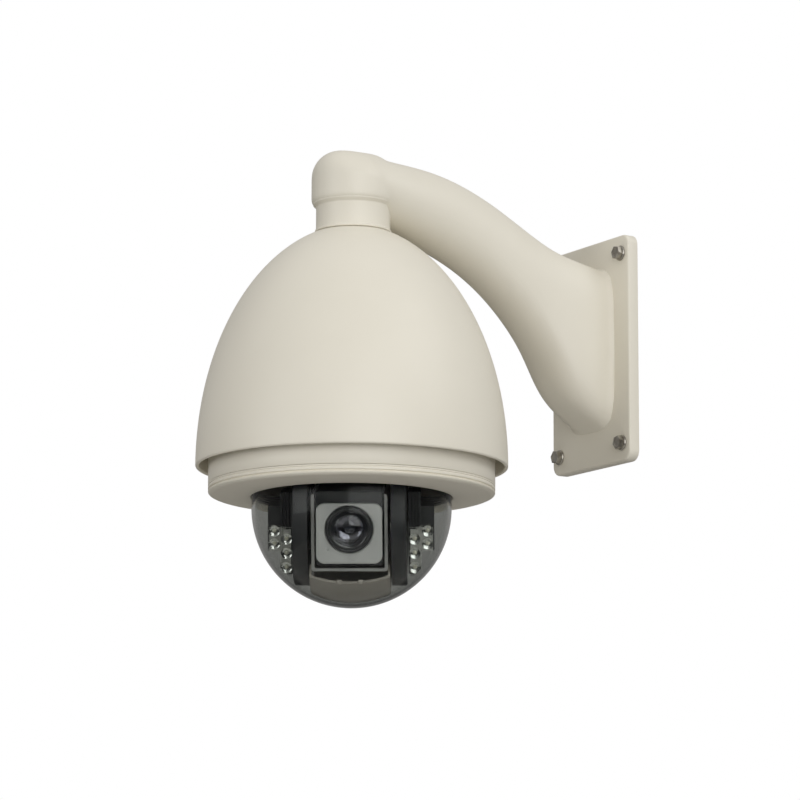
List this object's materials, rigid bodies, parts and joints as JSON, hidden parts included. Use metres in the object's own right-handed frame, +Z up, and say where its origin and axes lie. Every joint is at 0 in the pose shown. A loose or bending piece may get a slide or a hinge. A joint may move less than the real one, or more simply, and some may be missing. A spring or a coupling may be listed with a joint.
{
  "type": "ptz camera",
  "caption": "Wall-mounted pan-tilt-zoom dome camera: curved hollow bracket, bell-shaped sun shield, smoked lower bubble and a motorised lens head with infrared lamps.",
  "frame": {"origin": "centre of the wall plate's back face, on the wall", "axes": "+Z up, -Y away from the wall towards the dome, +X to the right when facing along +Y at the wall"},
  "size_m": [0.241, 0.3528, 0.3567],
  "materials": {
    "cream_paint": "fine-textured satin powder coat",
    "zinc_steel": "zinc-plated, slightly dulled",
    "bare_aluminium": "plain machined or sheet",
    "black_plastic": "fine moulded texture",
    "grey_plastic": "satin moulded",
    "black_rubber": "matt",
    "smoked_bubble": "smoked, polished",
    "lamp_lens": "clear moulded lenses",
    "coated_glass": "coated, polished",
    "brass": "bright",
    "circuit_board": "solder mask"
  },
  "bodies": {
    "housing": {"wall_bracket": "cream_paint", "wall_bolt_1": "zinc_steel", "wall_bolt_2": "zinc_steel", "wall_bolt_3": "zinc_steel", "wall_bolt_4": "zinc_steel", "neck_adapter": "bare_aluminium", "shield_spacer": "black_rubber", "neck_lock_screw": "zinc_steel", "sun_shield": "cream_paint", "inner_housing": "cream_paint", "trim_ring": "cream_paint", "bubble": "smoked_bubble", "bubble_gasket": "black_rubber", "bubble_clamp_ring": "bare_aluminium", "clamp_screw_1": "zinc_steel", "clamp_screw_2": "zinc_steel", "clamp_screw_3": "zinc_steel", "chassis_plate": "bare_aluminium", "pan_motor": "black_plastic", "pan_belt": "black_rubber", "slip_ring_stator": "black_plastic", "pan_bearing_outer": "zinc_steel", "power_board": "circuit_board", "terminal_block": "black_plastic", "fan_frame": "black_plastic"},
    "fan": {"fan_rotor": "black_plastic"},
    "pan_head": {"pan_platter": "bare_aluminium", "yoke_left": "black_plastic", "yoke_right": "black_plastic", "pan_pulley": "black_plastic", "slip_ring_rotor": "brass", "pan_bearing_inner": "zinc_steel", "tilt_motor": "black_plastic", "tilt_belt": "black_rubber", "drive_board": "circuit_board"},
    "bearing_cage": {"pan_bearing_cage": "brass"},
    "pan_motor_shaft": {"pan_motor_pulley": "bare_aluminium"},
    "tilt_motor_shaft": {"tilt_motor_pulley": "bare_aluminium"},
    "camera_head": {"camera_cradle": "bare_aluminium", "chin_cover": "grey_plastic", "camera_body": "black_plastic", "front_bezel": "grey_plastic", "lens_ring": "black_plastic", "front_lens": "coated_glass", "sensor_board": "circuit_board", "guide_rod_1": "zinc_steel", "guide_rod_2": "zinc_steel", "tilt_pulley": "black_plastic", "tilt_shaft_left": "zinc_steel", "tilt_shaft_right": "zinc_steel", "led_housing_left": "black_plastic", "led_housing_right": "black_plastic", "led_board_left": "circuit_board", "led_board_right": "circuit_board", "led_lens_left": "lamp_lens", "led_lens_right": "lamp_lens"},
    "zoom_carrier": {"zoom_group": "black_plastic"},
    "focus_carrier": {"focus_group": "black_plastic"},
    "filter_slide": {"ir_cut_filter": "coated_glass"}
  },
  "joints": [
    {"name": "pan", "type": "hinge", "parent": "housing", "child": "pan_head", "pos_m": [0, -0.233, -0.1], "axis": [0, 0, 1], "continuous": true},
    {"name": "tilt", "type": "hinge", "parent": "pan_head", "child": "camera_head", "pos_m": [0, -0.233, -0.148], "axis": [0.5446, 0.8387, 0], "range_deg": [-20, 70]},
    {"name": "zoom", "type": "slide", "parent": "camera_head", "child": "zoom_carrier", "axis": [0.7881, -0.5118, -0.342], "range_m": [-0.012, 0.01]},
    {"name": "focus", "type": "slide", "parent": "camera_head", "child": "focus_carrier", "axis": [0.7881, -0.5118, -0.342], "range_m": [-0.01, 0.005]},
    {"name": "day_night_filter", "type": "slide", "parent": "camera_head", "child": "filter_slide", "axis": [0.5446, 0.8387, 0], "range_m": [0, 0.014]},
    {"name": "fan_spin", "type": "hinge", "parent": "housing", "child": "fan", "pos_m": [0.055, -0.233, -0.06], "axis": [0, 0, 1], "continuous": true},
    {"name": "cage_spin", "type": "hinge", "parent": "housing", "child": "bearing_cage", "pos_m": [0, -0.233, -0.062], "axis": [0, 0, 1], "continuous": true},
    {"name": "pan_motor_spin", "type": "hinge", "parent": "housing", "child": "pan_motor_shaft", "pos_m": [-0.062, -0.233, -0.078], "axis": [0, 0, 1], "continuous": true},
    {"name": "tilt_motor_spin", "type": "hinge", "parent": "pan_head", "child": "tilt_motor_shaft", "pos_m": [0, -0.233, -0.0973], "axis": [0.5446, 0.8387, 0], "range_deg": [-90, 290]}
  ],
  "couplings": [
    {"joint": "pan_motor_spin", "follows": "pan", "ratio": 5},
    {"joint": "cage_spin", "follows": "pan", "ratio": 0.45},
    {"joint": "tilt_motor_spin", "follows": "tilt", "ratio": 4}
  ]
}
